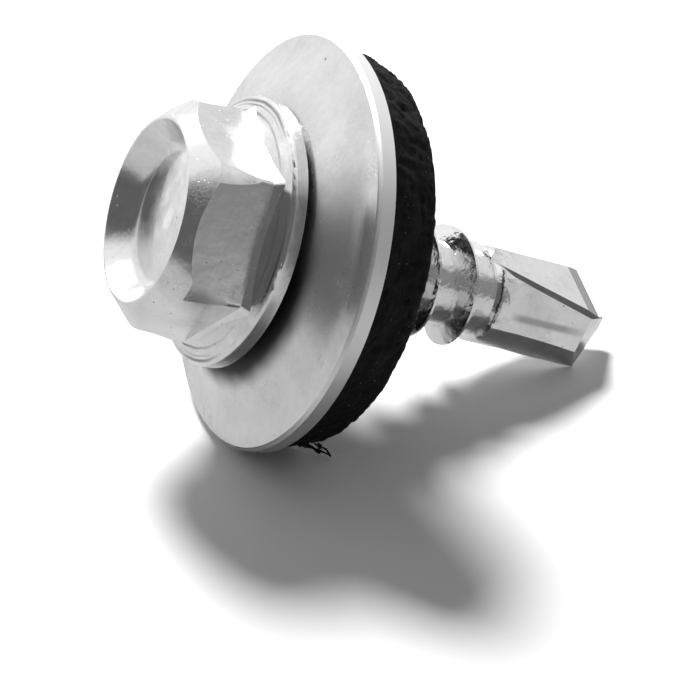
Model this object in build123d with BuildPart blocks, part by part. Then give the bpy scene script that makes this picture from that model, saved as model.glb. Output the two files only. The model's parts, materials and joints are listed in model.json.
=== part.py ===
# A self-drilling roofing screw lying at rest: hex washer head, loose sealing washer
# (domed steel plate bonded to a rubber seal), short coarse thread and a two-flute drill point.
# Millimetres, +Z up, floor at z = 0. The screw's axis lies in the XZ plane, tip towards +X.

import os
from math import ceil, cos, hypot, radians, sin, tan

from build123d import *

os.makedirs("parts", exist_ok=True)

# ---- driving sizes ----------------------------------------------------------------------
# Lengths along the screw are counted from the bearing face under the flange.

# hex head
across_flats = 7.8
hex_corner_round = 0.25
head_height = 3.8
top_flat_diameter = 7.0  # where the top chamfer begins
top_chamfer_angle = 45
top_chamfer_radius = 6.0  # the chamfer is slightly rounded
corner_top_diameter = 8.6  # the forged corners fall short of the full hex here
corner_fade_height = 1.3  # and reach it at this height above the bearing face
corner_fade_radius = 8.0
hex_turn = -13.9  # of one corner, about the axis, from straight up

# dished recess in the top of the head
dish_rim_width = 0.1
dish_depth = 0.95
dish_floor_diameter = 5.3
dish_bottom_round = 0.45
dish_floor_crown = 0.08

# flange
flange_diameter = 10.3
flange_rim_height = 0.55
flange_slope = 12  # of its top face, down towards the rim
flange_top_round = 60  # its top face is slightly hollow
flange_edge_round = 0.17
foot_flare_height = 0.4  # where the hex spreads into the flange
foot_flare_width = 0.32
foot_sink = 0.05  # of its corners, into the flange

# shank and thread
under_head_length = 18.2  # bearing face to the tip of the drill
neck_diameter = 3.9
root_diameter = 3.5
thread_diameter = 4.85
thread_pitch = 1.8
thread_crest_width = 0.1
thread_base_width = 1.0
thread_start_gap = 0.25  # from the back of the seal to the first trace of thread
thread_rise = 0.8  # axial length over which it grows to full height
thread_runout = 0.6  # axial length over which it fades out before the drill
thread_crest_at = 9.3  # where one crest passes straight over the axis

# drill
drill_length = 6.85
blank_diameter = 4.06  # at the thread
drill_diameter = 4.3  # at the cutting lips
shoulder_length = 0.25
shoulder_radius = 0.5
blank_flare_radius = 90  # the blank swells very slightly between thread and lips
point_angle = 100
lip_relief = 40
drill_turn = -45.3  # of one rake face, about the axis, from straight up
flute_length = 7.4
flute_angle = 136  # between the rake face and the heel wall
flute_offset = 0.18  # rake face to the axis, at the tip
flute_corner_reach = 0.25  # bottom corner to the axis along the rake face, at the tip
flute_rise = 9.7  # the rake face climbs away from the axis towards the thread
flute_swing = 5.5  # and its bottom corner swings outwards
flute_corner_round = 0.12
bevel_width = 0.66  # narrow facet along each cutting lip
bevel_angle = 8
bevel_clearance = 0.05  # its inner end to the bottom of the flute
land_flat_distance = 1.77  # flat on the back of each land, from the axis
land_flat_turn = 125  # of its normal, from the rake face
land_flat_from_tip = 6.5
land_flat_lead = 0.6
tongue_radius = 1.05  # rounded end of the blank over each flat

# sealing washer
washer_diameter = 16
plate_thickness = 0.65
plate_bore_diameter = 5.4
plate_edge_bevel = 0.12
dome_height = 1.05
crown_diameter = 9.8  # flat middle that meets the flange
rim_diameter = 14.0  # where the dome runs out into the flatter rim
rim_drop = 0.12  # of the rim, from there to its edge
dome_roll_radius = 2.0  # of its bends, in front; behind, the pad fills them sharp
seal_thickness = 2.15  # at the rim
seal_bore_diameter = 4.45
seal_back_diameter = 15.0
seal_edge_round = 0.35
seal_press = 0.16  # depth of the flat that the soft pad takes where it lies on the floor
seal_bore_bevel = 0.4  # wide enough for the leaning thread to clear the sheet
washer_lean = 2.9  # the loose washer stands more upright than the screw's own flange
washer_clearance = 0.05  # crown to flange, where they come nearest

# ---- sizes that follow ------------------------------------------------------------------

top_radius = top_flat_diameter / 2
rim_inner_radius = top_radius - dish_rim_width
flange_radius = flange_diameter / 2
neck_radius = neck_diameter / 2
root_radius = root_diameter / 2
crest_radius = thread_diameter / 2
blank_radius = blank_diameter / 2
drill_radius = drill_diameter / 2
washer_radius = washer_diameter / 2
crown_radius = crown_diameter / 2
rim_radius = rim_diameter / 2
plate_bore_radius = plate_bore_diameter / 2
seal_bore_radius = seal_bore_diameter / 2
seal_back_radius = seal_back_diameter / 2
seal_back = plate_thickness + seal_thickness

hex_corner_radius = across_flats / 2 / cos(radians(30))
flange_peak = flange_rim_height + flange_radius * tan(radians(flange_slope))
foot_corner_radius = hex_corner_radius + foot_flare_width
corner_top_radius = corner_top_diameter / 2
chamfer_foot = (corner_top_radius - top_radius) * tan(radians(top_chamfer_angle)) - head_height
foot_height = flange_peak - foot_corner_radius * tan(radians(flange_slope)) - foot_sink
hex_base_height = foot_height + foot_flare_height

drill_start = under_head_length - drill_length
point_length = drill_radius / tan(radians(point_angle / 2))
lean = radians(washer_lean)
washer_seat = washer_clearance + dome_height * cos(lean) + crown_radius * sin(lean)
seal_end = washer_seat + seal_back * cos(lean) + seal_bore_radius * sin(lean)
thread_start = seal_end + thread_start_gap
outside = 2 * washer_diameter  # further out than anything that is cut

shallowest_rest = 1  # degrees
steepest_rest = 80
rest_halvings = 30


# ---- planes -----------------------------------------------------------------------------


def profile_plane(frame):
    """The plane through a frame's axis: x is the radius and y runs along the axis."""
    return Plane(origin=frame.origin, x_dir=frame.x_dir, z_dir=-frame.y_dir)


def direction_in(frame, x, y, z):
    """A direction given in a frame's own coordinates."""
    return frame.x_dir * x + frame.y_dir * y + frame.z_dir * z


def turned(frame, angle):
    """The same frame, turned about its own axis."""
    new_x = direction_in(frame, cos(radians(angle)), sin(radians(angle)), 0)
    return Plane(origin=frame.origin, x_dir=new_x, z_dir=frame.z_dir)


def axis_of(frame):
    return Axis(frame.origin, frame.z_dir)


# ---- screw ------------------------------------------------------------------------------


def build_thread(frame):
    """One helical ridge, faded in and out by a double cone."""
    sunk = 0.2  # how far the ridge reaches into the shank
    turns_before = ceil((thread_crest_at - thread_start) / thread_pitch) + 1
    lowest = thread_crest_at - turns_before * thread_pitch
    path_frame = frame.offset(lowest)
    path_length = drill_start + thread_pitch - lowest
    path = path_frame * Helix(pitch=thread_pitch, height=path_length, radius=root_radius)
    section = Plane(origin=path @ 0, x_dir=path_frame.x_dir, z_dir=path % 0)
    height = crest_radius - root_radius
    half_crest = thread_crest_width / 2
    half_base = thread_base_width / 2
    thread_end = drill_start - shoulder_length
    core_radius = root_radius - sunk
    clear_radius = 2 * crest_radius - core_radius  # the cones run on past the crest

    with BuildPart() as thread:
        with BuildSketch(section):
            with BuildLine():
                Polyline(
                    (height, -half_crest),
                    (height, half_crest),
                    (-sunk, half_base),
                    (-sunk, -half_base),
                    close=True,
                )
            make_face()
        sweep(path=path, is_frenet=True)
        with BuildSketch(profile_plane(frame)):
            with BuildLine():
                Polyline(
                    (0, thread_start),
                    (core_radius, thread_start),
                    (clear_radius, thread_start + 2 * thread_rise),
                    (clear_radius, thread_end - 2 * thread_runout),
                    (core_radius, thread_end),
                    (0, thread_end),
                    close=True,
                )
            make_face()
        revolve(axis=axis_of(frame), mode=Mode.INTERSECT)
    return thread


def add_turned_body(frame):
    """Flange, neck, shank and drill blank, all turned about the axis."""
    shoulder_foot = (root_radius, drill_start - shoulder_length)
    shoulder_top = (blank_radius, drill_start)
    lip_corner = (drill_radius, under_head_length - point_length)
    with BuildSketch(profile_plane(frame)) as section:
        with BuildLine():
            RadiusArc((0, -flange_peak), (flange_radius, -flange_rim_height), -flange_top_round)
            Polyline(
                (flange_radius, -flange_rim_height),
                (flange_radius, 0),
                (neck_radius, 0),
                (neck_radius, thread_start),
                (root_radius, thread_start + neck_radius - root_radius),
                shoulder_foot,
            )
            RadiusArc(shoulder_foot, shoulder_top, shoulder_radius)
            RadiusArc(shoulder_top, lip_corner, blank_flare_radius)
            Polyline(lip_corner, (drill_radius, under_head_length), (0, under_head_length))
            Line((0, under_head_length), (0, -flange_peak))
        make_face()
        flange_edge = section.vertices().sort_by_distance((flange_radius, -flange_rim_height))[0]
        fillet(flange_edge, flange_edge_round)
    revolve(section.sketch, axis=axis_of(frame))


def add_hex(frame):
    """The hex, its flared foot and the chamfer round its top."""
    hex_frame = turned(frame, hex_turn)
    with BuildSketch(hex_frame.offset(-hex_base_height)) as hexagon:
        RegularPolygon(hex_corner_radius, 6)
        fillet(hexagon.vertices(), hex_corner_round)
    extrude(hexagon.sketch, amount=hex_base_height - head_height)
    with BuildSketch(hex_frame.offset(-foot_height)) as foot:
        RegularPolygon(foot_corner_radius, 6)
        fillet(foot.vertices(), hex_corner_round)
    loft([hexagon.sketch.face(), foot.sketch.face()])
    chamfer_start = (top_radius, -head_height)
    chamfer_end = (corner_top_radius, chamfer_foot)
    fade_end = (hex_corner_radius, -corner_fade_height)
    with BuildSketch(profile_plane(frame)) as corner:
        with BuildLine():
            RadiusArc(chamfer_start, chamfer_end, top_chamfer_radius)
            RadiusArc(chamfer_end, fade_end, corner_fade_radius)
            Polyline(fade_end, (outside, -corner_fade_height), (outside, -head_height), chamfer_start)
        make_face()
    revolve(corner.sketch, axis=axis_of(frame), mode=Mode.SUBTRACT)


def cut_dish(frame):
    """The bowl-shaped recess in the top of the head."""
    floor = -head_height + dish_depth
    with BuildSketch(profile_plane(frame)) as bowl:
        with BuildLine():
            FilletPolyline(
                (rim_inner_radius, -head_height),
                (dish_floor_diameter / 2, floor),
                (0, floor - dish_floor_crown),
                radius=dish_bottom_round,
            )
            Polyline((0, floor - dish_floor_crown), (0, -head_height), (rim_inner_radius, -head_height))
        make_face()
    revolve(bowl.sketch, axis=axis_of(frame), mode=Mode.SUBTRACT)


def cut_land_flat(drill_frame):
    """A flat on the back of one land; the blank ends over it in a rounded tongue."""
    normal_frame = turned(drill_frame, land_flat_turn)
    along = normal_frame.z_dir
    start = normal_frame.origin + along * (under_head_length - land_flat_from_tip)
    flat_plane = Plane(
        origin=start + normal_frame.x_dir * land_flat_distance,
        x_dir=along,
        z_dir=normal_frame.x_dir,
    )
    with BuildSketch(flat_plane) as flat:
        with Locations((-land_flat_lead, 0)):
            Rectangle(outside, drill_diameter, align=(Align.MIN, Align.CENTER))
        with Locations((-tongue_radius, 0)):
            Circle(tongue_radius, mode=Mode.SUBTRACT)
    extrude(flat.sketch, amount=drill_radius, mode=Mode.SUBTRACT)


def cut_flute(drill_frame):
    """A straight V flute that climbs out of the drill towards the thread."""
    heel = radians(flute_angle)
    corner = (flute_corner_reach, flute_offset)
    rake_end = (flute_corner_reach + outside, flute_offset)
    heel_end = (
        flute_corner_reach + outside * cos(heel),
        flute_offset + outside * sin(heel),
    )
    with BuildSketch(drill_frame.offset(under_head_length)) as wedge:
        with BuildLine():
            Polyline(corner, rake_end, (rake_end[0], heel_end[1]), heel_end, close=True)
        make_face()
        fillet(wedge.vertices().sort_by_distance(corner)[0], flute_corner_round)
    climb = Vector(tan(radians(flute_swing)), tan(radians(flute_rise)), -1)
    extrude(
        wedge.sketch,
        amount=flute_length * climb.length,
        dir=direction_in(drill_frame, *climb),
        mode=Mode.SUBTRACT,
    )


def cut_point(drill_frame):
    """One ground flank of the point, and the narrow bevel along its cutting lip."""
    slope = 1 / tan(radians(point_angle / 2))
    relief = tan(radians(lip_relief))
    rise = tan(radians(flute_rise))
    tip = drill_frame.origin + drill_frame.z_dir * under_head_length
    flank_normal = direction_in(drill_frame, slope, -relief, 1)
    with BuildSketch(Plane(origin=tip, x_dir=drill_frame.y_dir, z_dir=flank_normal)) as flank:
        Rectangle(drill_diameter * 2, drill_diameter * 2)
    extrude(flank.sketch, amount=drill_diameter, mode=Mode.SUBTRACT)

    rake_normal = direction_in(drill_frame, 0, 1, rise).normalized()
    lip = rake_normal.cross(flank_normal).normalized()
    forward = lip.cross(rake_normal)
    inner = flute_corner_reach + bevel_clearance
    drop = (inner * slope - flute_offset * relief) / (1 + rise * relief)
    inner_end = tip + direction_in(drill_frame, inner, flute_offset + rise * drop, -drop)
    bevel_plane = Plane(
        origin=inner_end - forward * bevel_width,
        x_dir=lip,
        z_dir=rake_normal * cos(radians(bevel_angle)) + forward * sin(radians(bevel_angle)),
    )
    with BuildSketch(bevel_plane) as bevel:
        Rectangle(drill_diameter, drill_diameter, align=(Align.MIN, Align.MAX))
    extrude(bevel.sketch, amount=drill_diameter, mode=Mode.SUBTRACT)


def build_screw(frame):
    thread = build_thread(frame)
    with BuildPart() as screw:
        add_turned_body(frame)
        add_hex(frame)
        cut_dish(frame)
        for half_turn in (0, 180):
            drill_frame = turned(frame, drill_turn + half_turn)
            cut_land_flat(drill_frame)
            cut_flute(drill_frame)
            cut_point(drill_frame)
        add(thread.part)
    return screw


# ---- sealing washer ---------------------------------------------------------------------


def dome_points(inner_radius, lift):
    """The dome's profile from a bore out to the rim, lifted along the washer's axis."""
    return (
        (inner_radius, lift - dome_height),
        (crown_radius, lift - dome_height),
        (rim_radius, lift - rim_drop),
        (washer_radius, lift),
    )


def build_plate(frame):
    with BuildPart() as plate:
        with BuildSketch(profile_plane(frame)) as section:
            with BuildLine():
                FilletPolyline(*dome_points(plate_bore_radius, 0), radius=dome_roll_radius)
                Line((washer_radius, 0), (washer_radius, plate_thickness))
                Polyline(*dome_points(plate_bore_radius, plate_thickness))
                Line(
                    (plate_bore_radius, -dome_height),
                    (plate_bore_radius, plate_thickness - dome_height),
                )
            make_face()
            front_edge = section.vertices().sort_by_distance((washer_radius, 0))[0]
            chamfer(front_edge, plate_edge_bevel)
        revolve(axis=axis_of(frame))
    return plate


def build_seal(frame):
    with BuildPart() as seal:
        with BuildSketch(profile_plane(frame)) as section:
            with BuildLine():
                Polyline(*dome_points(seal_bore_radius, plate_thickness))
                Polyline(
                    (washer_radius, plate_thickness),
                    (seal_back_radius, seal_back),
                    (seal_bore_radius, seal_back),
                    (seal_bore_radius, plate_thickness - dome_height),
                )
            make_face()
            back_edge = section.vertices().sort_by_distance((seal_back_radius, seal_back))[0]
            fillet(back_edge, seal_edge_round)
            bore_edge = section.vertices().sort_by_distance((seal_bore_radius, seal_back))[0]
            chamfer(bore_edge, seal_bore_bevel)
        revolve(axis=axis_of(frame))
        split(bisect_by=Plane.XY, keep=Keep.TOP)
    return seal


# ---- rest -------------------------------------------------------------------------------


def lying_plane(angle, origin=(0, 0, 0)):
    """A frame whose axis points along +X and dips below level by an angle in radians."""
    return Plane(
        origin=origin,
        x_dir=(sin(angle), 0, cos(angle)),
        z_dir=(cos(angle), 0, -sin(angle)),
    )


def drill_depth(drill, angle):
    """How far the drill reaches below the middle of the bearing face."""
    return -(lying_plane(angle).location * drill).bounding_box().min.Z


def seal_depth(angle):
    """The same for the rounded back edge of the seal, pressed flat."""
    taper = (washer_radius - seal_back_radius) / seal_thickness
    round_centre = seal_back_radius + seal_edge_round * (taper - hypot(1, taper))
    washer_angle = angle - lean
    return (
        washer_seat * sin(angle)
        + (seal_back - seal_edge_round) * sin(washer_angle)
        + round_centre * cos(washer_angle)
        + seal_edge_round
        - seal_press
    )


def find_rest_angle(drill):
    """The dip at which the seal and the drill both touch the floor, by halving."""
    shallow, steep = radians(shallowest_rest), radians(steepest_rest)
    for _ in range(rest_halvings):
        middle = (shallow + steep) / 2
        if drill_depth(drill, middle) < seal_depth(middle):
            shallow = middle
        else:
            steep = middle
    return middle


# the screw is made standing upright and measured, to find how it lies
upright = build_screw(Plane.XY)
with BuildPart() as upright_drill:
    add(upright.part)
    split(bisect_by=Plane.XY.offset(drill_start))

rest_angle = find_rest_angle(upright_drill.part)
rest_extent = (lying_plane(rest_angle).location * upright.part).bounding_box()
screw_frame = lying_plane(rest_angle, (-rest_extent.center().X, 0, seal_depth(rest_angle)))
washer_frame = lying_plane(rest_angle - lean, screw_frame.offset(washer_seat).origin)

with BuildPart() as screw:
    with Locations(screw_frame.location):
        add(upright.part)
screw.part.label = "screw"
export_step(screw.part, "parts/screw.step")

washer_plate = build_plate(washer_frame)
washer_plate.part.label = "washer_plate"
export_step(washer_plate.part, "parts/washer_plate.step")

rubber_seal = build_seal(washer_frame)
rubber_seal.part.label = "rubber_seal"
export_step(rubber_seal.part, "parts/rubber_seal.step")
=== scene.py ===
import json
import math

import bmesh
import bpy
from mathutils import Matrix, Vector, noise


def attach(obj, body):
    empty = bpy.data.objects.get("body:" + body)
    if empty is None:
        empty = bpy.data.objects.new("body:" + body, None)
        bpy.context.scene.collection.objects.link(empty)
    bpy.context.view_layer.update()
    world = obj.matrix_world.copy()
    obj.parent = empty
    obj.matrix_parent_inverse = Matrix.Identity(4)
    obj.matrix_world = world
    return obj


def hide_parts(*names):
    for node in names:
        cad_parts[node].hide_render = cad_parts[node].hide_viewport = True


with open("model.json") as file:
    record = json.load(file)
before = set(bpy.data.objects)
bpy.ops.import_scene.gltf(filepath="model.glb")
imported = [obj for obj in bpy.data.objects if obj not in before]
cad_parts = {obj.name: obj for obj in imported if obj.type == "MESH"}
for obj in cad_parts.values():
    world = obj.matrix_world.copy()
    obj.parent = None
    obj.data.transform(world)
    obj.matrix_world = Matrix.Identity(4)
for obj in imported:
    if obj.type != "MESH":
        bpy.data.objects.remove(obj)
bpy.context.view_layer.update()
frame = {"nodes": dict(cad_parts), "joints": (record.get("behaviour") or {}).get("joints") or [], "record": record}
mm = 0.001

# where the screw and its washer lie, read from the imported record
mounts = {mount["name"]: mount for mount in frame["record"]["mounts"]}
washerJoint = frame["joints"][0]
threadFromFace = 7.928 * mm  # bearing face to the thread's mount, along the screw


def lyingFrame(origin, axis):
    # z runs towards the tip, x points up and y towards the viewer
    zAxis = Vector(axis).normalized()
    yAxis = Vector((0, -1, 0))
    xAxis = yAxis.cross(zAxis)
    turn = Matrix((xAxis, yAxis, zAxis)).transposed()
    return Matrix.Translation(origin) @ turn.to_4x4()


threadAxis = Vector(mounts["thread"]["axis"])
faceCentre = Vector(mounts["thread"]["pos_m"]) - threadAxis * threadFromFace
screwFrame = lyingFrame(faceCentre, threadAxis)
washerFrame = lyingFrame(Vector(washerJoint["pos_m"]), washerJoint["axis"])
print("frame loaded")


# ---- helpers for shader nodes

noiseLow = 0.3  # nearly all of a noise lies between these two
noiseHigh = 0.7


def addNode(tree, kind, settings=None, sockets=None):
    node = tree.nodes.new(kind)
    for name, value in (settings or {}).items():
        setattr(node, name, value)
    for name, value in (sockets or {}).items():
        if isinstance(value, bpy.types.NodeSocket):
            tree.links.new(value, node.inputs[name])
        else:
            node.inputs[name].default_value = value
    return node


def doMath(tree, operation, first, second=0.0, clamp=False):
    settings = {"operation": operation, "use_clamp": clamp}
    return addNode(tree, "ShaderNodeMath", settings, {0: first, 1: second}).outputs[0]


def add(tree, first, second, clamp=False):
    return doMath(tree, "ADD", first, second, clamp)


def subtract(tree, first, second):
    return doMath(tree, "SUBTRACT", first, second)


def multiply(tree, first, second):
    return doMath(tree, "MULTIPLY", first, second)


def absolute(tree, value):
    return doMath(tree, "ABSOLUTE", value)


def rampValue(tree, value, low, high, atLow=0.0, atHigh=1.0, shape="LINEAR"):
    settings = {"clamp": True, "interpolation_type": shape}
    sockets = {"Value": value, "From Min": low, "From Max": high, "To Min": atLow, "To Max": atHigh}
    return addNode(tree, "ShaderNodeMapRange", settings, sockets).outputs[0]


def fadeOut(tree, value, low, high, shape="LINEAR"):
    return rampValue(tree, value, low, high, 1.0, 0.0, shape)


def mixValue(tree, factor, first, second):
    sockets = {"Factor": factor, "A": first, "B": second}
    return addNode(tree, "ShaderNodeMix", {"data_type": "FLOAT"}, sockets).outputs[0]


def mixColour(tree, factor, first, second):
    node = addNode(tree, "ShaderNodeMix", {"data_type": "RGBA"})
    for name, value in (("Factor", factor), ("A", first), ("B", second)):
        socket = [s for s in node.inputs if s.name == name and s.enabled][0]
        if isinstance(value, bpy.types.NodeSocket):
            tree.links.new(value, socket)
        else:
            socket.default_value = value
    return [s for s in node.outputs if s.enabled][0]


def grey(level):
    return (level, level, level, 1.0)


def noiseAt(tree, point, scale, detail, roughness=0.5, distortion=0.0):
    return addNode(tree, "ShaderNodeTexNoise", None, {
        "Vector": point, "Scale": scale, "Detail": detail, "Roughness": roughness, "Distortion": distortion,
    }).outputs[0]


def spreadNoise(tree, value, atLow=0.0, atHigh=1.0):
    return rampValue(tree, value, noiseLow, noiseHigh, atLow, atHigh)


def dotWith(tree, vector, direction):
    sockets = {0: vector, 1: direction}
    return addNode(tree, "ShaderNodeVectorMath", {"operation": "DOT_PRODUCT"}, sockets).outputs["Value"]


def splitPoint(tree, point):
    return addNode(tree, "ShaderNodeSeparateXYZ", None, {0: point}).outputs


def axisDistance(tree, point):
    # how far a local point is from its own z axis
    flat = addNode(tree, "ShaderNodeVectorMath", {"operation": "MULTIPLY"}, {0: point, 1: (1.0, 1.0, 0.0)})
    length = addNode(tree, "ShaderNodeVectorMath", {"operation": "LENGTH"}, {0: flat.outputs[0]})
    return length.outputs["Value"]


def newGroup(name, inputs, outputs):
    # a node group with named sockets: each is (name, kind, default)
    tree = bpy.data.node_groups.new(name, "ShaderNodeTree")
    for socketName, kind, default in inputs:
        socket = tree.interface.new_socket(socketName, in_out="INPUT", socket_type=kind)
        if default is not None:
            socket.default_value = default
    for socketName, kind in outputs:
        tree.interface.new_socket(socketName, in_out="OUTPUT", socket_type=kind)
    return tree, tree.nodes.new("NodeGroupInput"), tree.nodes.new("NodeGroupOutput")


def useGroup(tree, group, sockets):
    return addNode(tree, "ShaderNodeGroup", {"node_tree": group}, sockets).outputs[0]


def newMaterial(name):
    material = bpy.data.materials.new(name)
    material.use_nodes = True
    tree = material.node_tree
    tree.nodes.clear()
    shader = addNode(tree, "ShaderNodeBsdfPrincipled")
    addNode(tree, "ShaderNodeOutputMaterial", None, {"Surface": shader.outputs[0]})
    return material, tree, shader


def localPoint(tree, place):
    # the surface point in millimetres, in the frame of the screw or the washer
    point = addNode(tree, "ShaderNodeTexCoord").outputs["Object"]
    mapping = addNode(tree, "ShaderNodeMapping", {"vector_type": "TEXTURE"}, {"Vector": point})
    mapping.inputs["Location"].default_value = place.translation
    mapping.inputs["Rotation"].default_value = place.to_euler()
    mapping.inputs["Scale"].default_value = (mm, mm, mm)
    return mapping.outputs[0]


def raiseSurface(tree, shader, height):
    bump = addNode(tree, "ShaderNodeBump", None, {"Strength": 1.0, "Distance": 1.0, "Height": height})
    tree.links.new(bump.outputs[0], shader.inputs["Normal"])


# ---- effects that more than one finish uses

mottleLook = {
    "fineRatio": 7.0,  # the fine grain against the broad clouds
    "swirl": 0.4,
}

scratchLook = {
    "bendScale": 0.35,
    "bend": 0.6,
    "halfWidth": 0.025,
    "patchScale": 0.8,
    "patchTop": 0.75,  # where an amount of 0 leaves no line
    "patchFade": 0.1,
}

pitLook = {
    "smallest": 0.10,
    "largest": 0.30,
    "softness": 0.12,
}

wearLook = {
    "samples": 6,
    "worn": 0.80,  # agreement between the true and the rounded normal
    "fresh": 0.985,
    "patchScale": 3.0,
    "patchLow": 0.35,
    "patchHigh": 0.6,
    "least": 0.25,
}


def makeMottle():
    # broad and fine cloudiness of a surface
    inputs = [
        ("Point", "NodeSocketVector", None),
        ("Size", "NodeSocketFloat", 1.0),
        ("Grain", "NodeSocketFloat", 0.5),
    ]
    tree, given, result = newGroup("mottle", inputs, [("Value", "NodeSocketFloat")])
    point = given.outputs["Point"]
    scale = doMath(tree, "DIVIDE", 1.0, given.outputs["Size"])
    fineScale = multiply(tree, scale, mottleLook["fineRatio"])
    broad = noiseAt(tree, point, scale, detail=3.0, roughness=0.55, distortion=mottleLook["swirl"])
    fine = noiseAt(tree, point, fineScale, detail=4.0, roughness=0.7)
    both = mixValue(tree, given.outputs["Grain"], broad, fine)
    tree.links.new(spreadNoise(tree, both), result.inputs["Value"])
    return tree


def makeScratches():
    # fine lines, long along one direction of the point given
    inputs = [
        ("Point", "NodeSocketVector", None),
        ("Stretch", "NodeSocketVector", (30.0, 1.0, 1.0)),
        ("Amount", "NodeSocketFloat", 0.3),
    ]
    tree, given, result = newGroup("scratches", inputs, [("Mask", "NodeSocketFloat")])
    point = given.outputs["Point"]
    look = scratchLook
    wander = addNode(tree, "ShaderNodeTexNoise", None, {
        "Vector": point, "Scale": look["bendScale"], "Detail": 1.0,
    })
    bent = addNode(tree, "ShaderNodeVectorMath", {"operation": "MULTIPLY_ADD"}, {
        0: wander.outputs["Color"], 1: (look["bend"], look["bend"], look["bend"]), 2: point,
    })
    stretched = addNode(tree, "ShaderNodeVectorMath", {"operation": "MULTIPLY"}, {
        0: bent.outputs[0], 1: given.outputs["Stretch"],
    })
    lines = noiseAt(tree, stretched.outputs[0], 1.0, detail=3.0, roughness=0.6)
    offMiddle = absolute(tree, subtract(tree, lines, 0.5))
    thin = fadeOut(tree, offMiddle, 0.0, look["halfWidth"])
    patch = noiseAt(tree, point, look["patchScale"], detail=2.0)
    clean = subtract(tree, look["patchTop"], given.outputs["Amount"])
    lined = rampValue(tree, subtract(tree, patch, clean), 0.0, look["patchFade"])
    tree.links.new(multiply(tree, thin, lined), result.inputs["Mask"])
    return tree


def makePits():
    # scattered small specks, each a cell of its own
    inputs = [
        ("Point", "NodeSocketVector", None),
        ("Spacing", "NodeSocketFloat", 0.3),
        ("Share", "NodeSocketFloat", 0.1),
    ]
    tree, given, result = newGroup("pits", inputs, [("Mask", "NodeSocketFloat")])
    look = pitLook
    scale = doMath(tree, "DIVIDE", 1.0, given.outputs["Spacing"])
    cells = addNode(tree, "ShaderNodeTexVoronoi", None, {
        "Vector": given.outputs["Point"], "Scale": scale, "Randomness": 1.0,
    })
    lot = addNode(tree, "ShaderNodeSeparateColor", None, {"Color": cells.outputs["Color"]})
    chosen = doMath(tree, "LESS_THAN", lot.outputs[0], given.outputs["Share"])
    size = rampValue(tree, lot.outputs[1], 0.0, 1.0, look["smallest"], look["largest"])
    inside = subtract(tree, size, cells.outputs["Distance"])
    soft = rampValue(tree, inside, 0.0, look["softness"])
    tree.links.new(multiply(tree, chosen, soft), result.inputs["Mask"])
    return tree


def makeEdgeWear():
    # finds edges by comparing the normal with a rounded one
    inputs = [
        ("Width", "NodeSocketFloat", 0.08 * mm),
        ("Point", "NodeSocketVector", None),
    ]
    tree, given, result = newGroup("edgeWear", inputs, [("Mask", "NodeSocketFloat")])
    look = wearLook
    rounded = addNode(tree, "ShaderNodeBevel", {"samples": look["samples"]}, {
        "Radius": given.outputs["Width"],
    })
    normal = addNode(tree, "ShaderNodeNewGeometry").outputs["Normal"]
    agreement = dotWith(tree, rounded.outputs[0], normal)
    edge = fadeOut(tree, agreement, look["worn"], look["fresh"])
    broken = noiseAt(tree, given.outputs["Point"], look["patchScale"], detail=3.0)
    patchy = rampValue(tree, broken, look["patchLow"], look["patchHigh"], look["least"], 1.0)
    tree.links.new(multiply(tree, edge, patchy), result.inputs["Mask"])
    return tree


mottle = makeMottle()
scratches = makeScratches()
pits = makePits()
edgeWear = makeEdgeWear()


# ---- screw: plated steel, with places given in mm along the screw from its bearing face

screwFinish = {
    "bright": 0.86,
    "dull": 0.66,
    "cloudSize": 1.6,
    "cloudGrain": 0.35,
    "roughLow": 0.10,
    "roughHigh": 0.27,
    "rippleScale": 1.3,
    "rippleDepth": 0.014 * mm,
    # fine lines along the screw, and others across it
    "drawnStretch": (9.0, 9.0, 0.5),
    "drawnAmount": 0.24,
    "drawnShare": 0.18,
    "drawnShade": 0.6,
    "crossedStretch": (1.0, 5.0, 9.0),
    "crossedAmount": 0.18,
    "crossedRough": 0.12,
    "scratchDepth": 0.0012 * mm,
    # dark pits
    "pitDark": 0.12,
    "pitShare": 0.6,
    "pitSpacing": 0.15,
    "pitAmount": 0.05,
    "pitRough": 0.25,
    "pitDepth": 0.010 * mm,
    # rubbed edges
    "wearWidth": 0.09 * mm,
    "wearBright": 0.9,
    # the rolled thread and neck are lumpy
    "lumpScale": 2.6,
    "lumpDepth": 0.035 * mm,
    "lumpStart": 3.1,
    "lumpFull": 4.6,
    "lumpFade": 11.95,
    "lumpEnd": 12.65,
}

flangeMarks = {
    "dark": 0.26,
    # radius, width, and how much of the ring is missing
    "rings": [(4.50, 0.07, 0.44), (4.78, 0.05, 0.50), (4.95, 0.08, 0.40)],
    "core": 0.3,  # share of the width that is darkest
    "wander": 0.05,
    "wanderScale": 0.5,
    "breakScale": 0.16,  # of the noise that breaks it, finer on the outer rings
    "breakGrowth": 0.03,
    "breakFade": 0.2,
    "hexFoot": -1.65,
    "footFade": 0.15,
    "rimStart": -0.5,
    "rimEnd": -0.3,
}

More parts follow.
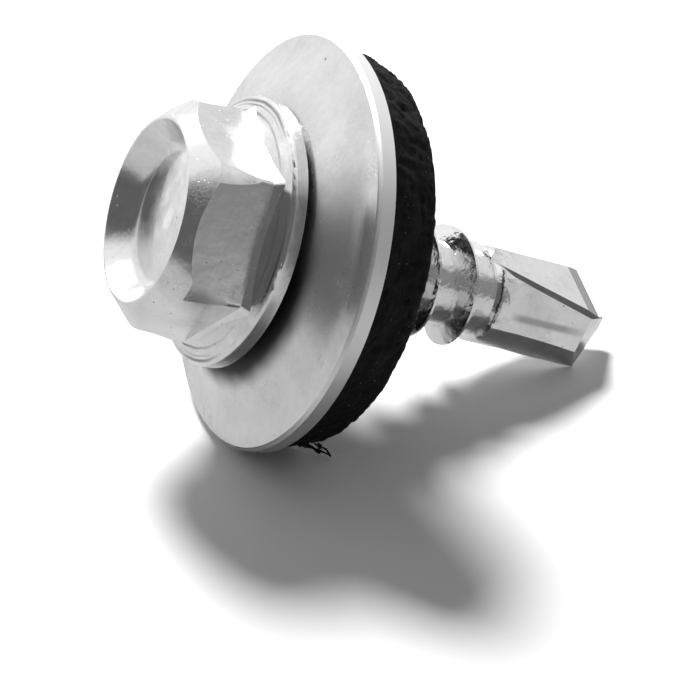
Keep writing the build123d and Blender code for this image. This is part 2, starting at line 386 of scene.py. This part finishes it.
drillFinish = {
    "start": 11.35,
    "startFade": (0.1, 0.5),
    # degrees about the screw: the rake face from straight up, the others from the rake face
    "rakeTurn": -45.3,
    "heelTurn": 136.0,
    "landTurn": 125.0,
    "rakeRise": 9.7,
    "heelRise": 0.19,
    "bevelTurn": 8.0,
    "halfPoint": 50.0,
    "lipRelief": 40.0,
    # painted shade on the wall behind each flute, polished rake face, ground facet along the lip
    "wallSoot": 0.045,
    "wallRough": 0.4,
    "wallSheen": 0.1,
    "wallFacing": (0.95, 0.98),
    "rakeBright": 0.97,
    "rakeShare": 0.8,
    "rakeFacing": (0.992, 0.998),
    "groundDark": 0.40,
    "groundFacing": (0.9955, 0.9985),
    # painted reflection: a dark stripe along the back of each land
    "reflectionDark": 0.40,
    "stripePlace": 0.35,
    "stripeCore": 0.05,
    "stripeEdge": 0.24,
    "stripeStart": (0.7, 1.3),
    "stripeEnd": (3.6, 5.0),
    "landFacing": (0.98, 0.995),
}


def drillDirection(local):
    # a direction given beside the first rake face, in the scene
    turn = Matrix.Rotation(math.radians(drillFinish["rakeTurn"]), 3, "Z")
    return (screwFrame.to_3x3() @ turn @ Vector(local)).normalized()


def facingMask(tree, local, limits):
    # where the surface faces one way or the opposite: the drill has two of everything
    normal = addNode(tree, "ShaderNodeNewGeometry").outputs["Normal"]
    agreement = absolute(tree, dotWith(tree, normal, drillDirection(local)))
    return rampValue(tree, agreement, limits[0], limits[1])


def bevelDirection():
    # the ground facet leans forward from the rake face, about the cutting lip
    rise = math.radians(drillFinish["rakeRise"])
    rake = Vector((0, 1, math.tan(rise))).normalized()
    slope = 1 / math.tan(math.radians(drillFinish["halfPoint"]))
    relief = math.tan(math.radians(drillFinish["lipRelief"]))
    flank = Vector((slope, -relief, 1))
    lip = rake.cross(flank).normalized()
    lean = math.radians(drillFinish["bevelTurn"])
    return rake * math.cos(lean) + lip.cross(rake) * math.sin(lean)


def drillSpan(reaches):
    # two places along the screw, given from where the drill starts
    return [drillFinish["start"] + reach for reach in reaches]


# painted reflection: a soft dark stripe along each land, in place of a dark band that the metal mirrors
def landReflectionStripe(tree, point, along):
    finish = drillFinish
    land = math.radians(finish["landTurn"])
    turned = addNode(tree, "ShaderNodeVectorRotate", {"rotation_type": "Z_AXIS"}, {
        "Vector": point, "Angle": -math.radians(finish["rakeTurn"]),
    })
    sideways = dotWith(tree, turned.outputs[0], (-math.sin(land), math.cos(land), 0.0))
    offMiddle = absolute(tree, subtract(tree, sideways, finish["stripePlace"]))
    line = fadeOut(tree, offMiddle, finish["stripeCore"], finish["stripeEdge"], "SMOOTHSTEP")
    onLand = facingMask(tree, (math.cos(land), math.sin(land), 0), finish["landFacing"])
    begun = rampValue(tree, along, *drillSpan(finish["stripeStart"]))
    ended = fadeOut(tree, along, *drillSpan(finish["stripeEnd"]))
    line = multiply(tree, line, onLand)
    line = multiply(tree, line, begun)
    return multiply(tree, line, ended)


def drillMasks(tree, point):
    # the wall behind each flute with its painted shade, its rake face, the narrow ground facet and the painted
    # reflection stripe
    finish = drillFinish
    heel = math.radians(finish["heelTurn"])
    rise = math.radians(finish["rakeRise"])
    along = splitPoint(tree, point)[2]
    onDrill = rampValue(tree, along, *drillSpan(finish["startFade"]))
    wallOut = (math.sin(heel), -math.cos(heel), finish["heelRise"])
    rakeOut = (0, math.cos(rise), math.sin(rise))
    masks = {
        "wall": facingMask(tree, wallOut, finish["wallFacing"]),
        "rake": facingMask(tree, rakeOut, finish["rakeFacing"]),
        "ground": facingMask(tree, bevelDirection(), finish["groundFacing"]),
        # the streak mask holds the painted reflection stripe
        "streak": landReflectionStripe(tree, point, along),
    }
    return {name: multiply(tree, mask, onDrill) for name, mask in masks.items()}


def dieRings(tree, point):
    # broken dark rings that the forging die leaves on the flange
    marks = flangeMarks
    wander = noiseAt(tree, point, marks["wanderScale"], detail=2.0)
    moved = spreadNoise(tree, wander, -marks["wander"], marks["wander"])
    reach = add(tree, axisDistance(tree, point), moved)
    total = 0.0
    for radius, width, missing in marks["rings"]:
        offRing = absolute(tree, subtract(tree, reach, radius))
        line = fadeOut(tree, offRing, width * marks["core"], width)
        breakScale = marks["breakScale"] + radius * marks["breakGrowth"]
        broken = noiseAt(tree, point, breakScale, detail=1.0)
        kept = rampValue(tree, broken, missing, missing + marks["breakFade"])
        total = add(tree, multiply(tree, line, kept), total, clamp=True)
    along = splitPoint(tree, point)[2]
    pastFoot = rampValue(tree, along, marks["hexFoot"] - marks["footFade"], marks["hexFoot"])
    beforeRim = fadeOut(tree, along, marks["rimStart"], marks["rimEnd"])
    return multiply(tree, total, multiply(tree, pastFoot, beforeRim))


def screwMasks(tree, point):
    finish = screwFinish
    masks = drillMasks(tree, point)
    masks["rings"] = dieRings(tree, point)
    masks["cloud"] = useGroup(tree, mottle, {
        "Point": point, "Size": finish["cloudSize"], "Grain": finish["cloudGrain"],
    })
    masks["drawn"] = useGroup(tree, scratches, {
        "Point": point, "Stretch": finish["drawnStretch"], "Amount": finish["drawnAmount"],
    })
    masks["crossed"] = useGroup(tree, scratches, {
        "Point": point, "Stretch": finish["crossedStretch"], "Amount": finish["crossedAmount"],
    })
    masks["pitted"] = useGroup(tree, pits, {
        "Point": point, "Spacing": finish["pitSpacing"], "Share": finish["pitAmount"],
    })
    masks["worn"] = useGroup(tree, edgeWear, {"Point": point, "Width": finish["wearWidth"]})
    return masks


def screwColour(tree, masks):
    finish = screwFinish
    lines = multiply(tree, masks["drawn"], finish["drawnShare"])
    specks = multiply(tree, masks["pitted"], finish["pitShare"])
    polished = multiply(tree, masks["rake"], drillFinish["rakeShare"])
    colour = mixColour(tree, masks["cloud"], grey(finish["dull"]), grey(finish["bright"]))
    colour = mixColour(tree, lines, colour, grey(finish["dull"] * finish["drawnShade"]))
    colour = mixColour(tree, specks, colour, grey(finish["pitDark"]))
    colour = mixColour(tree, masks["worn"], colour, grey(finish["wearBright"]))
    colour = mixColour(tree, masks["rings"], colour, grey(flangeMarks["dark"]))
    colour = mixColour(tree, polished, colour, grey(drillFinish["rakeBright"]))
    colour = mixColour(tree, masks["ground"], colour, grey(drillFinish["groundDark"]))
    # painted reflection: dark stripe along each land
    colour = mixColour(tree, masks["streak"], colour, grey(drillFinish["reflectionDark"]))
    # painted shade: the wall behind each flute is darkened
    return mixColour(tree, masks["wall"], colour, grey(drillFinish["wallSoot"]))


def screwRoughness(tree, masks):
    finish = screwFinish
    rough = rampValue(tree, masks["cloud"], 0.0, 1.0, finish["roughHigh"], finish["roughLow"])
    rough = add(tree, rough, multiply(tree, masks["pitted"], finish["pitRough"]))
    rough = add(tree, rough, multiply(tree, masks["wall"], drillFinish["wallRough"]))
    return add(tree, rough, multiply(tree, masks["crossed"], finish["crossedRough"]), clamp=True)


def screwHeight(tree, point, masks):
    finish = screwFinish
    along = splitPoint(tree, point)[2]
    begun = rampValue(tree, along, finish["lumpStart"], finish["lumpFull"])
    ended = fadeOut(tree, along, finish["lumpFade"], finish["lumpEnd"])
    ripple = noiseAt(tree, point, finish["rippleScale"], detail=2.5)
    lumps = noiseAt(tree, point, finish["lumpScale"], detail=2.5, roughness=0.55)
    lumps = multiply(tree, lumps, multiply(tree, begun, ended))
    height = multiply(tree, ripple, finish["rippleDepth"])
    height = add(tree, height, multiply(tree, lumps, finish["lumpDepth"]))
    height = subtract(tree, height, multiply(tree, masks["drawn"], finish["scratchDepth"]))
    height = subtract(tree, height, multiply(tree, masks["crossed"], finish["scratchDepth"]))
    return subtract(tree, height, multiply(tree, masks["pitted"], finish["pitDepth"]))


def makeScrewSteel():
    material, tree, shader = newMaterial("screwSteel")
    point = localPoint(tree, screwFrame)
    masks = screwMasks(tree, point)
    tree.links.new(screwColour(tree, masks), shader.inputs["Base Color"])
    tree.links.new(screwRoughness(tree, masks), shader.inputs["Roughness"])
    # the wall with the painted shade is also made non-metal
    tree.links.new(subtract(tree, 1.0, masks["wall"]), shader.inputs["Metallic"])
    shader.inputs["Specular IOR Level"].default_value = drillFinish["wallSheen"]
    raiseSurface(tree, shader, screwHeight(tree, point, masks))
    return material


def dress(nodeName, material):
    for slot in frame["nodes"][nodeName].material_slots:
        slot.material = material


dress("screw", makeScrewSteel())
print("screw finished")


# ---- washer: duller sheet steel

washerFinish = {
    "bright": 0.78,
    "dull": 0.62,
    "cloudSize": 2.2,
    "cloudGrain": 0.4,
    "roughLow": 0.20,
    "roughHigh": 0.30,
    "grainScale": 9.0,
    "grainDepth": 0.0014 * mm,
    # rolling lines of the sheet
    "rolledStretch": (2.0, 16.0, 2.0),
    "rolledAmount": 0.18,
    "rolledShare": 0.2,
    "rolledShade": 0.7,
    # dark pits
    "pitDark": 0.10,
    "pitShare": 0.75,
    "pitSpacing": 0.24,
    "pitAmount": 0.02,
    "pitDepth": 0.010 * mm,
    # rubbed edges
    "wearWidth": 0.08 * mm,
    "wearBright": 0.82,
    "wearSmooth": 0.1,
    # painted shade round the flange, where the flange shades the washer, less of it on the upper side
    "flangeShade": 0.07,
    "shadeInner": 5.1,
    "shadeOuter": 6.0,
    "shadeWobble": 0.06,
    "shadeScale": 0.8,
    "shadeRough": 0.35,
    "shadeFadeStart": 0.3,
    "shadeFadeFull": 3.6,
    "shadeLeftAbove": 0.08,
    # the sheared edge is painted lighter, standing in for light bounced up from the floor, and is duller than the
    # rolled face
    "edgeInner": 7.86,
    "edgeOuter": 7.94,
    "edgePaintedLight": 0.86,
    "edgeRough": 0.25,
}


# painted shade: a dark ring on the washer under the flange, fading out on the upper side
def flangeShadeMask(tree, point):
    finish = washerFinish
    fromScrew = localPoint(tree, screwFrame)
    wobble = noiseAt(tree, point, finish["shadeScale"], detail=1.5)
    moved = spreadNoise(tree, wobble, -finish["shadeWobble"], finish["shadeWobble"])
    reach = subtract(tree, axisDistance(tree, fromScrew), moved)
    ring = fadeOut(tree, reach, finish["shadeInner"], finish["shadeOuter"], "SMOOTHSTEP")
    upwards = splitPoint(tree, fromScrew)[0]
    kept = rampValue(
        tree, upwards, finish["shadeFadeStart"], finish["shadeFadeFull"], 1.0, finish["shadeLeftAbove"], "SMOOTHSTEP",
    )
    return multiply(tree, ring, kept)


def washerMasks(tree, point):
    finish = washerFinish
    return {
        "cloud": useGroup(tree, mottle, {
            "Point": point, "Size": finish["cloudSize"], "Grain": finish["cloudGrain"],
        }),
        "rolled": useGroup(tree, scratches, {
            "Point": point, "Stretch": finish["rolledStretch"], "Amount": finish["rolledAmount"],
        }),
        "pitted": useGroup(tree, pits, {
            "Point": point, "Spacing": finish["pitSpacing"], "Share": finish["pitAmount"],
        }),
        "worn": useGroup(tree, edgeWear, {"Point": point, "Width": finish["wearWidth"]}),
        "flangeShade": flangeShadeMask(tree, point),
        "sheared": rampValue(tree, axisDistance(tree, point), finish["edgeInner"], finish["edgeOuter"]),
    }


def washerColour(tree, masks):
    finish = washerFinish
    lines = multiply(tree, masks["rolled"], finish["rolledShare"])
    specks = multiply(tree, masks["pitted"], finish["pitShare"])
    colour = mixColour(tree, masks["cloud"], grey(finish["dull"]), grey(finish["bright"]))
    colour = mixColour(tree, lines, colour, grey(finish["dull"] * finish["rolledShade"]))
    colour = mixColour(tree, specks, colour, grey(finish["pitDark"]))
    colour = mixColour(tree, masks["worn"], colour, grey(finish["wearBright"]))
    # painted shade under the flange
    colour = mixColour(tree, masks["flangeShade"], colour, grey(finish["flangeShade"]))
    # painted bounce light on the sheared edge
    return mixColour(tree, masks["sheared"], colour, grey(finish["edgePaintedLight"]))


def washerRoughness(tree, masks):
    finish = washerFinish
    rough = rampValue(tree, masks["cloud"], 0.0, 1.0, finish["roughHigh"], finish["roughLow"])
    rough = subtract(tree, rough, multiply(tree, masks["worn"], finish["wearSmooth"]))
    rough = add(tree, rough, multiply(tree, masks["flangeShade"], finish["shadeRough"]), clamp=True)
    return add(tree, rough, multiply(tree, masks["sheared"], finish["edgeRough"]), clamp=True)


def washerHeight(tree, point, masks):
    finish = washerFinish
    grain = noiseAt(tree, point, finish["grainScale"], detail=4.0, roughness=0.65)
    height = multiply(tree, grain, finish["grainDepth"])
    height = subtract(tree, height, multiply(tree, masks["rolled"], finish["grainDepth"]))
    return subtract(tree, height, multiply(tree, masks["pitted"], finish["pitDepth"]))


def makeWasherSteel():
    material, tree, shader = newMaterial("washerSteel")
    point = localPoint(tree, washerFrame)
    masks = washerMasks(tree, point)
    tree.links.new(washerColour(tree, masks), shader.inputs["Base Color"])
    tree.links.new(washerRoughness(tree, masks), shader.inputs["Roughness"])
    shader.inputs["Metallic"].default_value = 1.0
    raiseSurface(tree, shader, washerHeight(tree, point, masks))
    return material


dress("washer_plate", makeWasherSteel())
print("washer finished")


# ---- rubber seal, in mm

sealShape = {
    "boreRadius": 2.225,
    "edgeRadius": 8.0,
    "backRadius": 7.5,
    "crownRadius": 4.9,
    "rimRadius": 7.0,
    "domeHeight": 1.05,
    "rimDrop": 0.12,
    "plateThickness": 0.65,
    "thickness": 2.15,
    "backRound": 0.35,
    "backRoundTurn": 80.0,  # degrees, where the rounding runs into the slanting side
    "boreBevel": 0.4,
    "boreWall": 2.0,
    "rimGap": 0.03,  # between plate and pad at the rim
    "domeGap": 0.05,
    "edgeInset": 0.05,
    "around": 540,
}

sealTear = {
    # how torn each stretch of the surface is, from 0 to 1
    "bore": 0.1,
    "bevel": 0.15,
    "back": 0.25,
    "roundStart": 0.3,
    "side": 1.0,
    # depths in mm, and the scales of their noise
    "chunkScale": 0.9,
    "chunk": 0.10,
    "streakScale": 2.6,
    "streak": 0.09,
    "streakSquash": 1.2,
    "streakRise": 1.6,
    "streakSlant": 3.0,  # for each radian round the seal
    "grainScale": 6.0,
    "grain": 0.035,
    "grainFade": 0.7,
    "grainStep": 2.1,
    "grainLayers": 3,
    "nickScale": 2.7,
    "nickPlace": (5, 1, 3),
    "nickRare": 0.28,
    "nick": 0.22,
    "inset": 0.06,
    "liftScale": 1.3,
    "lift": 0.03,
    "edgeLimit": 0.02,
}

rubberFinish = {
    "black": 0.002,
    "worn": 0.010,
    "scuff": 0.020,
    "dust": 0.22,
    "dustShare": 0.7,
    "dustSpacing": 0.12,
    "dustAmount": 0.10,
    "scuffStretch": (3.0, 3.0, 9.0),
    "scuffAmount": 0.38,
    "scuffShare": 0.5,
    "cloudSize": 0.8,
    "cloudGrain": 0.5,
    "roughLow": 0.54,
    "roughHigh": 0.86,
    "sheen": 0.13,
    "grainScale": 14.0,
    "grainDepth": 0.02 * mm,
    "scuffDepth": 0.01 * mm,
}


def addRun(points, start, end, steps, torn):
    # a straight stretch of the profile, without its first point
    for step in range(1, steps + 1):
        share = step / steps
        radius = start[0] + (end[0] - start[0]) * share
        points.append((radius, start[1] + (end[1] - start[1]) * share, torn))


def addBackRound(points, centreRadius, back):
    # the rounded edge between the back and the side, torn more and more
    steps = 6
    size = sealShape["backRound"]
    for step in range(1, steps + 1):
        share = step / steps
        turn = math.radians(sealShape["backRoundTurn"] * share)
        torn = sealTear["roundStart"] + (sealTear["side"] - sealTear["roundStart"]) * share
        points.append((centreRadius + size * math.sin(turn), back - size * (1 - math.cos(turn)), torn))


def sealProfile():
    # radius, height and how torn the surface is there, going out over the back and in under the plate
    s = sealShape
    front = s["plateThickness"]
    back = front + s["thickness"]
    boreStart = (s["boreRadius"], front - s["domeHeight"] + s["domeGap"])
    boreEnd = (s["boreRadius"], boreStart[1] + s["boreWall"])
    bevelStart = (s["boreRadius"], back - s["boreBevel"])
    bevelEnd = (s["boreRadius"] + s["boreBevel"], back)
    backEnd = (s["backRadius"] - s["backRound"], back)
    edge = (s["edgeRadius"] - s["edgeInset"], front + s["rimGap"])
    rim = (s["rimRadius"] - s["edgeInset"], front + s["rimGap"] - s["rimDrop"])
    domeStart = (s["rimRadius"] - s["edgeInset"], front + s["domeGap"] - s["rimDrop"])
    domeEnd = (s["crownRadius"] - s["edgeInset"], front + s["domeGap"] - s["domeHeight"])

    points = [(*boreStart, 0.0)]
    addRun(points, boreStart, boreEnd, 4, sealTear["bore"])
    points.append((*bevelStart, sealTear["bevel"]))
    addRun(points, bevelStart, bevelEnd, 4, sealTear["bevel"])
    addRun(points, bevelEnd, backEnd, 24, sealTear["back"])
    addBackRound(points, backEnd[0], back)
    addRun(points, points[-1], edge, 26, sealTear["side"])
    addRun(points, edge, rim, 8, 0.0)
    addRun(points, domeStart, domeEnd, 8, 0.0)
    return points


def tornOffset(height, angle):
    # how far a point of the cut edge moves in or out, in millimetres
    tear = sealTear
    across = Vector((math.cos(angle), math.sin(angle), 0)) * sealShape["edgeRadius"]
    edge = across + Vector((0, 0, height))
    rise = height * tear["streakRise"] + angle * tear["streakSlant"]
    slanted = across * tear["streakSquash"] * tear["streakScale"] + Vector((0, 0, rise))
    layers = (tear["grainFade"], tear["grainStep"], tear["grainLayers"])
    fine = noise.fractal(edge * tear["grainScale"], *layers)
    cut = noise.noise(edge * tear["nickScale"] + Vector(tear["nickPlace"])) + tear["nickRare"]
    chunk = noise.noise(edge * tear["chunkScale"]) * tear["chunk"]
    streak = noise.noise(slanted) * tear["streak"]
    return chunk + streak + fine * tear["grain"] + min(0.0, cut) * tear["nick"]


def sealPoint(radius, height, torn, angle):
    tear = sealTear
    direction = Vector((math.cos(angle), math.sin(angle), 0))
    move = (tornOffset(height, angle) - tear["inset"]) * torn
    reach = min(radius + move, sealShape["edgeRadius"] - tear["edgeLimit"])
    rough = noise.noise(direction * radius * tear["liftScale"] + Vector((0, 0, height)))
    lift = abs(rough * tear["lift"] * torn)
    point = washerFrame @ ((direction * reach + Vector((0, 0, height - lift))) * mm)
    point.z = max(point.z, 0.0)  # the soft pad lies pressed on the floor
    return point


def joinRings(mesh, first, second):
    for step in range(len(first)):
        after = (step + 1) % len(first)
        mesh.faces.new((first[step], second[step], second[after], first[after]))


def keepMesh(mesh, name):
    bmesh.ops.recalc_face_normals(mesh, faces=mesh.faces)
    data = bpy.data.meshes.new(name)
    mesh.to_mesh(data)
    mesh.free()
    data.polygons.foreach_set("use_smooth", [True] * len(data.polygons))
    kept = bpy.data.objects.new(name, data)
    bpy.context.scene.collection.objects.link(kept)
    return kept


def makeSeal():
    profile = sealProfile()
    mesh = bmesh.new()
    rings = []
    for turn in range(sealShape["around"]):
        angle = 2 * math.pi * turn / sealShape["around"]
        rings.append([mesh.verts.new(sealPoint(*spot, angle)) for spot in profile])
    for index, ring in enumerate(rings):
        joinRings(mesh, ring, rings[(index + 1) % len(rings)])
    return keepMesh(mesh, "rubberSeal")


def makeRubber():
    finish = rubberFinish
    material, tree, shader = newMaterial("sealRubber")
    point = localPoint(tree, washerFrame)
    cloud = useGroup(tree, mottle, {
        "Point": point, "Size": finish["cloudSize"], "Grain": finish["cloudGrain"],
    })
    dust = useGroup(tree, pits, {
        "Point": point, "Spacing": finish["dustSpacing"], "Share": finish["dustAmount"],
    })
    scuffs = useGroup(tree, scratches, {
        "Point": point, "Stretch": finish["scuffStretch"], "Amount": finish["scuffAmount"],
    })
    paleScuffs = multiply(tree, scuffs, finish["scuffShare"])
    paleDust = multiply(tree, dust, finish["dustShare"])
    colour = mixColour(tree, cloud, grey(finish["black"]), grey(finish["worn"]))
    colour = mixColour(tree, paleScuffs, colour, grey(finish["scuff"]))
    colour = mixColour(tree, paleDust, colour, grey(finish["dust"]))
    tree.links.new(colour, shader.inputs["Base Color"])

    rough = rampValue(tree, cloud, 0.0, 1.0, finish["roughLow"], finish["roughHigh"])
    tree.links.new(rough, shader.inputs["Roughness"])
    shader.inputs["Specular IOR Level"].default_value = finish["sheen"]

    grain = noiseAt(tree, point, finish["grainScale"], detail=5.0, roughness=0.7)
    height = multiply(tree, grain, finish["grainDepth"])
    height = add(tree, height, multiply(tree, scuffs, finish["scuffDepth"]))
    raiseSurface(tree, shader, height)
    return material


seal = makeSeal()
sealRubber = makeRubber()
seal.data.materials.append(sealRubber)
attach(seal, "sealing_washer")
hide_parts("rubber_seal")
print("rubber seal made")


# ---- torn shreds of rubber hanging from the cut edge

shreds = {
    # turn about the washer from straight up, sweep along the edge, how far it hangs out and trails back
    "loops": [
        (146.5, 7.0, 0.30, 1.05),
        (151.0, 3.4, 0.26, 0.70),
        (154.0, 3.0, 0.20, 0.35),
        (144.5, 1.8, 0.12, 0.18),
        (157.5, 1.6, 0.14, 0.20),
    ],
    "rootRadius": 7.45,
    "rootHeight": 2.68,
    "thick": 0.045,
    "thinnest": 0.7,  # share of that, and how much it can grow
    "swelling": 0.6,
    "swellScale": 3.0,
    "steps": 22,
    "sides": 8,
    "wriggle": 0.13,
    "wriggleCount": 5.0,
    "seed": 36,
}


def shredPath(turn, sweep, hang, trail):
    points = []
    for step in range(shreds["steps"] + 1):
        share = step / shreds["steps"]
        angle = math.radians(turn + sweep * share)
        loose = math.sin(math.pi * share)
        reach = shreds["rootRadius"] + hang * loose
        height = shreds["rootHeight"] + trail * loose
        twist = noise.noise_vector(Vector((turn, share * shreds["wriggleCount"], trail)))
        wriggle = twist * shreds["wriggle"] * loose
        local = Vector((math.cos(angle) * reach, math.sin(angle) * reach, height))
        point = washerFrame @ ((local + wriggle) * mm)
        point.z = max(point.z, shreds["thick"] * mm)
        points.append(point)
    return points


def tubeRing(mesh, point, ahead, thick):
    side = ahead.cross(Vector((0, 0, 1))).normalized()
    above = side.cross(ahead)
    ring = []
    for step in range(shreds["sides"]):
        turn = 2 * math.pi * step / shreds["sides"]
        spot = point + (side * math.cos(turn) + above * math.sin(turn)) * thick
        spot.z = max(spot.z, 0.0)
        ring.append(mesh.verts.new(spot))
    return ring


def addTube(mesh, path, thick):
    rings = []
    for index, point in enumerate(path):
        before = path[max(index - 1, 0)]
        after = path[min(index + 1, len(path) - 1)]
        uneven = abs(noise.noise(point / mm * shreds["swellScale"]))
        swell = shreds["thinnest"] + shreds["swelling"] * uneven
        rings.append(tubeRing(mesh, point, (after - before).normalized(), thick * swell))
    for first, second in zip(rings, rings[1:]):
        joinRings(mesh, first, second)
    mesh.faces.new(rings[0])
    mesh.faces.new(list(reversed(rings[-1])))


def makeShreds():
    mesh = bmesh.new()
    for turn, sweep, hang, trail in shreds["loops"]:
        addTube(mesh, shredPath(turn, sweep, hang, trail), shreds["thick"] * mm)
    return keepMesh(mesh, "rubberShreds")


noise.seed_set(shreds["seed"])  # so that each run tears the same shreds
tornShreds = makeShreds()
tornShreds.data.materials.append(sealRubber)
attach(tornShreds, "sealing_washer")
print("torn shreds made")


# ---- studio

studio = {
    "fill": 0.125,  # even light from all round
    # what the metal mirrors: a bright panel above and behind, a dark room on the viewer's side
    "panelHeading": (0.38, 0.90, 0.75),
    "panelStart": 0.14,
    "panelFull": 0.60,
    "panelLevel": 1.06,
    "panelRight": 0.80,  # share that is left of it far to the right
    "panelFade": (0.2, 0.8),
    "roomLeft": 0.13,
    "roomRight": 0.30,
    "roomFade": (-0.1, 0.8),
    "roomUneven": 0.22,
    "roomScale": 2.6,  # of its patches
    "keyDirection": (0.0, 0.615, 0.788),
    "keyDistance": 400 * mm,
    "keySize": 130 * mm,
    "keyLevel": 0.95,
}

floorLook = {
    "radius": 190 * mm,
    "sides": 96,
    "level": 0.80,
    "seen": 1.65,  # what the camera sees of it, so that it is white outside the shadow
    # further out it runs into the white of the backdrop
    "fadeStart": 60 * mm,
    "fadeEnd": 120 * mm,
}


def mirroredRoom(tree, direction):
    rightwards = splitPoint(tree, direction)[0]
    facing = dotWith(tree, direction, studio["panelHeading"])
    onPanel = rampValue(tree, facing, studio["panelStart"], studio["panelFull"], shape="SMOOTHSTEP")
    panelEnd = studio["panelLevel"] * studio["panelRight"]
    panel = rampValue(tree, rightwards, *studio["panelFade"], studio["panelLevel"], panelEnd)
    room = rampValue(tree, rightwards, *studio["roomFade"], studio["roomLeft"], studio["roomRight"])
    uneven = noiseAt(tree, direction, studio["roomScale"], detail=2.0)
    patches = spreadNoise(tree, uneven, 1.0 - studio["roomUneven"], 1.0 + studio["roomUneven"])
    return mixValue(tree, onPanel, multiply(tree, room, patches), panel)


def makeWorld():
    world = bpy.data.worlds.new("studio")
    world.use_nodes = True
    bpy.context.scene.world = world
    tree = world.node_tree
    tree.nodes.clear()
    direction = addNode(tree, "ShaderNodeTexCoord").outputs["Generated"]
    path = addNode(tree, "ShaderNodeLightPath").outputs
    mirrored = add(tree, path["Is Glossy Ray"], path["Is Transmission Ray"], clamp=True)
    level = mixValue(tree, mirrored, studio["fill"], mirroredRoom(tree, direction))
    level = mixValue(tree, path["Is Camera Ray"], level, 1.0)
    background = addNode(tree, "ShaderNodeBackground", None, {"Color": grey(1.0), "Strength": level})
    addNode(tree, "ShaderNodeOutputWorld", None, {"Surface": background.outputs[0]})


def makeFloorFinish():
    material = bpy.data.materials.new("paleFloor")
    material.use_nodes = True
    tree = material.node_tree
    tree.nodes.clear()
    lit = addNode(tree, "ShaderNodeBsdfDiffuse", None, {"Color": grey(floorLook["level"])})
    seen = addNode(tree, "ShaderNodeBsdfDiffuse", None, {"Color": grey(floorLook["seen"])})
    backdrop = addNode(tree, "ShaderNodeEmission", None, {"Color": grey(1.0)})
    place = addNode(tree, "ShaderNodeTexCoord").outputs["Object"]
    far = rampValue(
        tree, axisDistance(tree, place), floorLook["fadeStart"], floorLook["fadeEnd"], shape="SMOOTHSTEP",
    )
    path = addNode(tree, "ShaderNodeLightPath").outputs
    faded = addNode(tree, "ShaderNodeMixShader", None, {0: far, 1: seen.outputs[0], 2: backdrop.outputs[0]})
    mix = addNode(tree, "ShaderNodeMixShader", None, {
        0: path["Is Camera Ray"], 1: lit.outputs[0], 2: faded.outputs[0],
    })
    addNode(tree, "ShaderNodeOutputMaterial", None, {"Surface": mix.outputs[0]})
    return material


def makeFloor():
    corners = []
    for side in range(floorLook["sides"]):
        turn = 2 * math.pi * side / floorLook["sides"]
        corners.append((floorLook["radius"] * math.cos(turn), floorLook["radius"] * math.sin(turn), 0))
    data = bpy.data.meshes.new("floor")
    data.from_pydata(corners, [], [tuple(range(floorLook["sides"]))])
    data.materials.append(makeFloorFinish())
    floor = bpy.data.objects.new("floor", data)
    bpy.context.scene.collection.objects.link(floor)


def makeKey():
    data = bpy.data.lights.new("key", "AREA")
    data.shape = "DISK"
    data.size = studio["keySize"]
    direction = Vector(studio["keyDirection"]).normalized()
    # a white floor facing the lamp looks as bright as keyLevel
    data.energy = studio["keyLevel"] * math.pi * math.pi * studio["keyDistance"] ** 2
    key = bpy.data.objects.new("key", data)
    key.location = direction * studio["keyDistance"]
    key.rotation_mode = "QUATERNION"
    key.rotation_quaternion = direction.to_track_quat("Z", "Y")
    bpy.context.scene.collection.objects.link(key)


# ---- camera

cameraPlace = {
    "position": (-22.424 * mm, -48.614 * mm, 32.801 * mm),
    "azimuth": 23.571,
    "dip": 29.927,
    "roll": 0.713,
    "lens": 77.536,
    "sensor": 36.0,
}


def makeCamera():
    data = bpy.data.cameras.new("camera")
    data.lens = cameraPlace["lens"]
    data.sensor_width = cameraPlace["sensor"]
    data.clip_start = 1 * mm
    data.clip_end = 10.0
    camera = bpy.data.objects.new("camera", data)
    aim = Matrix.Rotation(-math.radians(cameraPlace["azimuth"]), 4, "Z")
    tilt = Matrix.Rotation(math.radians(90 - cameraPlace["dip"]), 4, "X")
    roll = Matrix.Rotation(math.radians(cameraPlace["roll"]), 4, "Z")
    camera.matrix_world = Matrix.Translation(cameraPlace["position"]) @ aim @ tilt @ roll
    bpy.context.scene.collection.objects.link(camera)
    bpy.context.scene.camera = camera


makeWorld()
makeFloor()
makeKey()
makeCamera()
bpy.context.scene.view_settings.view_transform = "Standard"
print("studio made")
